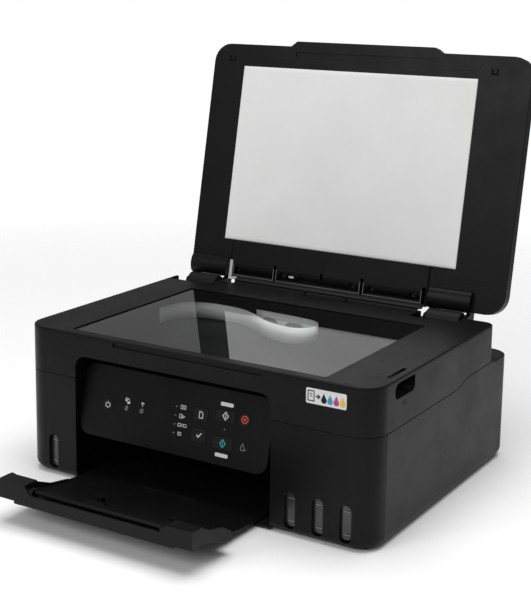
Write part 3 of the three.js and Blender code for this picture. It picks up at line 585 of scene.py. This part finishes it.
def panel_lamps():
    """Small clear lenses: under the status signs, by the job signs and between the start keys."""
    lens = clear_lens("lamp_lens")
    spots = [(-82.5, 35.3, 2.6), (-63.3, 35.6, 2.6), (37.8, 35.7, 1.1)]
    spots += [(-21.3, w, 1.1) for w in (48.4, 39.2, 30.3, 21.4)]
    for number, (x, w, radius) in enumerate(spots):
        profile = [(radius, -0.3), (radius, 0.05), (radius * 0.82, 0.25), (radius * 0.45, 0.36), (0.0, 0.4)]
        turned(f"panel_lamp_{number + 1}", PANEL, x, w, profile, lens, "housing")


def clear_lens(name):
    shader = Shader(name)
    colours = shader.blend(shader.noise(300, 2), (0.05, 0.05, 0.052, 1), (0.11, 0.11, 0.115, 1))
    shader.set(Coat_Weight=0.6, Coat_Roughness=0.05)
    return shader.set(Base_Color=colours, Roughness=0.18)


def dress_panel():
    key_marks()
    white = MATERIALS["label_white"]
    raised("panel_print", PANEL, panel_prints(), -0.05, 0.08, white, "housing")
    raised("panel_job_signs", PANEL, job_signs(), -0.05, 0.08, white, "housing")
    outline = stroke(drop(60.5, 21.2, 2.1, 16), 0.6, True)
    outline += stroke([(62.6, 19.4), (65.2, 21.2)], 0.6)
    raised("panel_ink_sign", PANEL, outline, -0.05, 0.08, PRINT_GREY, "housing")
    panel_lamps()


# ---------------------------------------------------------------- label on the front


def dress_label():
    """Four separate ink drops and a plain page sign on the pale label."""
    label_face = Face(at(0, -0.5, 0), (1, 0, 0), (0, 0, 1))
    inks = [(ink, f"cap_{ink}") for ink in ("black", "cyan", "magenta", "yellow")]
    for number, (ink, slot) in enumerate(inks):
        outline = [drop(154.4 + 6.5 * number, 142.4, 2.95)]
        raised(f"label_drop_{ink}", label_face, outline, -0.05, 0.08, MATERIALS[slot], "scanner_unit")
    sign = stroke([(137.6, 140.2), (144, 140.2), (144, 149.8), (137.6, 149.8)], 1.0, True)
    sign += stroke([(139.4, 147), (142.2, 147)], 0.8) + stroke([(139.4, 144.6), (142.2, 144.6)], 0.8)
    sign += stroke([(145.6, 145), (149.4, 145)], 1.2)
    sign += stroke([(147.8, 147.2), (150, 145), (147.8, 142.8)], 1.2)
    raised("label_sign", label_face, sign, -0.05, 0.08, MATERIALS["cap_black"], "scanner_unit")


# ---------------------------------------------------------------- document cover


def cover_pad():
    """The white pad: a foam sheet with soft edges, a touch crowned between them."""
    (x0, x1), (s0, s1) = PAD["x"], PAD["s"]
    columns, rows = 60, 42
    verts, faces = [], []

    def height(x, s):
        inset = min(x - x0, x1 - x, s - s0, s1 - s)
        rim = math.sin(min(inset / 1.6, 1.0) * math.pi / 2)
        ripple = 0.05 * math.sin(x / 23.0) * math.sin(s / 31.0)
        return PAD["proud"] - 0.9 * (1 - rim) + ripple * rim

    def spaced(a, b, count):
        inner = [a + (b - a) * i / count for i in range(1, count)]
        return [a, a + 0.25, a + 0.8, a + 1.8] + inner + [b - 1.8, b - 0.8, b - 0.25, b]

    xs, ss = spaced(x0, x1, columns), spaced(s0, s1, rows)
    for s in ss:
        verts += [COVER.point(x, s, height(x, s)) for x in xs]
    back = len(verts)
    for s in ss:
        verts += [COVER.point(x, s, PAD["proud"] - PAD["thick"]) for x in xs]
    wide, tall = len(xs), len(ss)
    for j in range(tall - 1):
        for i in range(wide - 1):
            a = j * wide + i
            quad = [a, a + 1, a + 1 + wide, a + wide]
            faces += [quad, [n + back for n in reversed(quad)]]
    rim = [i for i in range(wide)] + [j * wide + wide - 1 for j in range(1, tall)]
    rim += [(tall - 1) * wide + i for i in range(wide - 2, -1, -1)]
    rim += [j * wide for j in range(tall - 2, 0, -1)]
    for a, b in zip(rim, rim[1:] + rim[:1]):
        faces.append([b, a, a + back, b + back])
    pad = piece("cover_pad_foam", verts, faces, MATERIALS["pad_white"], "document_lid")
    pad.data.shade_smooth()
    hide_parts("cover_pad")


def cover_ridges():
    """Moulded lines on the cover's inner face."""
    lines = stroke([(-155.5, 276), (-152.5, 268.5), (-91.5, 268.5)], 0.9)
    lines += stroke([(-91.5, 268.5), (-91.5, 273.2), (92, 273.2), (92, 268.5)], 0.9)
    lines += stroke([(92, 268.5), (143.5, 268.5), (146.5, 276)], 0.9)
    lines += stroke([(119, 36.7), (204, 36.7)], 0.8) + stroke([(119, 32.6), (204, 32.6)], 0.8)
    lines += stroke([(119, 24.4), (168, 24.4), (170.4, 21)], 0.8) + stroke([(173, 14.6), (199, 14.6)], 0.8)
    lines += stroke([(-203.5, 30), (-152, 30)], 0.8) + stroke([(-203.5, 26), (-152, 26)], 0.8)
    return lines


def dress_cover():
    shell, body = MATERIALS["shell_black"], "document_lid"
    cover_pad()
    raised("cover_ridges", COVER, cover_ridges(), -0.3, 0.45, shell, body)
    tabs = [rounded(-58.5, 264.6, 37, 3.2, 0.8), rounded(52.3, 264.6, 37.4, 3.2, 0.8)]
    raised("cover_tabs", COVER, tabs, -0.3, 0.5, shell, body)
    # The cover's slots are flat near-black plates, painted shade in place of openings.
    slots = [rounded(x, s, 2.4, 5.2, 1.1) for x in (-183.6, -177.4, 160.4, 166.6) for s in (269,)]
    slots += [rounded(x, 265, 9.4, 2.6, 1.1) for x in (-180.5, 163.5)]
    raised("cover_slot_shades", COVER, slots, -0.4, 0.06, SLOT_SHADE_PAINT, body)
    # The rims take a pale tone as a painted highlight of light on the bays' lips.
    rims = []
    for x0, x1 in RAIL_BAYS:
        rims += stroke([(x0 - 0.5, 16.2), (x0 - 0.5, 2.4), (x1 + 0.5, 2.4), (x1 + 0.5, 16.2)], 0.9)
    raised("cover_bay_rims", COVER, rims, -0.3, 0.35, BAY_RIM_HIGHLIGHT, body)
    catch = [rounded(-63.5, 9.6, 6.4, 2.4, 0.5)]
    raised("cover_catch", COVER, catch, -4.2, -0.6, PRINT_PALE, body)
    # Painted light: a white L-shaped plate behind the cover face stands in for the bright backdrop seen through
    # the gap by the hinge.
    link = [(-152.2, 20.5), (-152.2, -3.4), (-132.5, -3.4), (-132.5, -0.6), (-147.4, -0.6), (-147.4, 20.5)]
    soften(raised("cover_painted_see_through", COVER, [link], -4, -1.5, MATERIALS["label_white"], body), 0.3)


# ---------------------------------------------------------------- scanner unit


def dress_scanner():
    """What shows through the glass, the painted shade of the small slots, and the marks of the scanner's outside.
    """
    body = "scanner_unit"
    chassis = MATERIALS["chassis_black"]
    section = Face(at(0, 0, 0), (0, 1, 0), (0, 0, 1))
    lip = arc(*COVER_PIVOT, 13.5, 50, 125) + arc(*COVER_PIVOT, 11.7, 125, 50)
    raised("hinge_lip", section, [lip], -130, 117.2, chassis, body)
    foot = [rounded(287, 156, 8, 9, 0.8)]
    raised("hinge_lip_foot", section, foot, 112.6, 117.2, chassis, body)
    for number, (x, y, z, wide, high) in enumerate(RIBBON_CLAMPS):
        name = f"ribbon_clamp_{number + 1}"
        clamp_face = Face(at(0, y, 0), (1, 0, 0), (0, 0, 1))
        outline = [rounded(x, z, wide, high, 5)]
        soften(raised(name, clamp_face, outline, 0, 2.2, chassis, body), 0.5)
    # The top slots are flat near-black plates, painted shade in place of openings.
    top_slots = [rounded(178, 4.6, 13, 1.1, 0.5), rounded(112, 5.4, 16, 0.9, 0.4)]
    raised("scanner_top_slot_shades", TOP, top_slots, -0.4, 0.03, SLOT_SHADE_PAINT, body)
    mark = stroke([(58, 131.6), (58, 135.6)], 0.7) + stroke([(62, 131.6), (62, 135.6)], 0.7)
    mark += stroke([(56.6, 134.2), (60, 137), (63.4, 134.2)], 0.7)
    raised("lift_mark", RIGHT, mark, -0.1, 0.18, MATERIALS["shell_black"], body)


# ---------------------------------------------------------------- housing


def dress_windows():
    """Level lines beside each ink window."""
    marks = []
    for x in WINDOWS.values():
        marks += stroke([(x - 3.4, 37.5), (x + 3.4, 37.5)], 0.6)
        marks += stroke([(x - 3.4, 14.5), (x + 3.4, 14.5)], 0.6)
    window_face = Face(at(0, 4, 0), (1, 0, 0), (0, 0, 1))
    raised("tank_level_marks", window_face, marks, -0.05, 0.12, PRINT_GREY, "housing")


def dress_rear():
    """Contacts of the mains inlet and the screws of the rear cover."""
    for number, x in enumerate((-179, -171)):
        profile = [(1.5, 0.2), (1.5, 8.6), (1.2, 9.5), (0.6, 10.1), (0.0, 10.2)]
        pins = Face(at(0, 323.8, 0), (-1, 0, 0), (0, 0, 1))
        metal = MATERIALS["socket_steel"]
        turned(f"inlet_pin_{number + 1}", pins, -x, 33, profile, metal, "housing")
    for number, (x, z) in enumerate(((-150, 100), (0, 100), (150, 100), (-60, 14), (60, 14))):
        profile = [(3.1, -0.3), (3.1, 0.5), (2.6, 1.0), (1.4, 1.25), (0.0, 1.3)]
        name = f"rear_screw_{number + 1}"
        screw = turned(name, REAR, -x, z, profile, MATERIALS["steel"], "housing")
        soften(screw, 0.1)


# ---------------------------------------------------------------- stage


def make_floor():
    """A plain pale floor that fades into the backdrop well away from the printer."""
    reach, steps = 1.9, 64
    turns = [math.tau * i / steps for i in range(steps)]
    verts = [(reach * math.cos(t), reach * math.sin(t), 0) for t in turns]
    shader = Shader("floor_white", Roughness=0.9)
    length = shader.add("ShaderNodeVectorMath", {"operation": "LENGTH"})
    shader.put(length, 0, shader.place)
    fade = shader.spread(length.outputs["Value"], 0.55, 1.5)
    shader.set(Base_Color=(0.93, 0.93, 0.93, 1), Specular_IOR_Level=0.0)
    clear = shader.add("ShaderNodeBsdfTransparent")
    both = shader.add("ShaderNodeMixShader", Fac=fade)
    shader.put(both, 1, shader.surface.outputs[0])
    shader.put(both, 2, clear.outputs[0])
    shader.tree.links.new(both.outputs[0], shader.output.inputs["Surface"])
    piece("floor", verts, [list(range(steps))], shader.material, None)


def make_world():
    """A white backdrop to look at, and a softer grey one that lights the scene."""
    world = bpy.data.worlds.new("studio")
    bpy.context.scene.world = world
    world.use_nodes = True
    tree = world.node_tree
    tree.nodes.clear()
    seen = tree.nodes.new("ShaderNodeBackground")
    seen.inputs["Color"].default_value = (1, 1, 1, 1)
    soft = tree.nodes.new("ShaderNodeBackground")
    soft.inputs["Color"].default_value = (1, 1, 1, 1)
    soft.inputs["Strength"].default_value = 0.24
    path = tree.nodes.new("ShaderNodeLightPath")
    both = tree.nodes.new("ShaderNodeMixShader")
    out = tree.nodes.new("ShaderNodeOutputWorld")
    tree.links.new(path.outputs["Is Camera Ray"], both.inputs[0])
    tree.links.new(soft.outputs[0], both.inputs[1])
    tree.links.new(seen.outputs[0], both.inputs[2])
    tree.links.new(both.outputs[0], out.inputs["Surface"])


def softbox(name, place, target, size, power):
    """A square area light that looks at a point."""
    data = bpy.data.lights.new(name, "AREA")
    data.shape = "RECTANGLE"
    data.size, data.size_y = size
    data.energy = power
    lamp = bpy.data.objects.new(name, data)
    way = Vector(target) - Vector(place)
    lamp.matrix_world = Matrix.Translation(place) @ way.to_track_quat("-Z", "Y").to_matrix().to_4x4()
    bpy.context.scene.collection.objects.link(lamp)


def make_lights():
    middle = (0, 0, 0.18)
    softbox("key", (-0.6, -2.3, 1.4), middle, (1.6, 1.0), 22)
    softbox("fill", (1.2, -2.4, 2.0), middle, (1.0, 1.0), 7)
    softbox("top", (0.2, 0.1, 2.6), middle, (2.2, 2.2), 61)


def make_camera():
    """The camera at the photograph's viewing angle."""
    azimuth, elevation, roll = (math.radians(a) for a in (31.52, 11.39, 0.74))
    place = at(712.9, -1031.0, 529.5)
    turn = Matrix.Rotation(azimuth, 4, "Z") @ Matrix.Rotation(math.pi / 2 - elevation, 4, "X")
    data = bpy.data.cameras.new("camera")
    data.sensor_width = 36
    data.lens = 79.66
    data.shift_x, data.shift_y = 0.0125, -0.1017
    data.clip_start, data.clip_end = 0.05, 50
    camera = bpy.data.objects.new("camera", data)
    camera.matrix_world = Matrix.Translation(place) @ turn @ Matrix.Rotation(roll, 4, "Z")
    bpy.context.scene.collection.objects.link(camera)
    bpy.context.scene.camera = camera


make_camera()
make_world()
make_lights()
make_floor()
dress_nodes()
dress_panel()
dress_label()
dress_cover()
dress_scanner()
dress_windows()
dress_rear()
bpy.context.scene.view_settings.view_transform = "Standard"
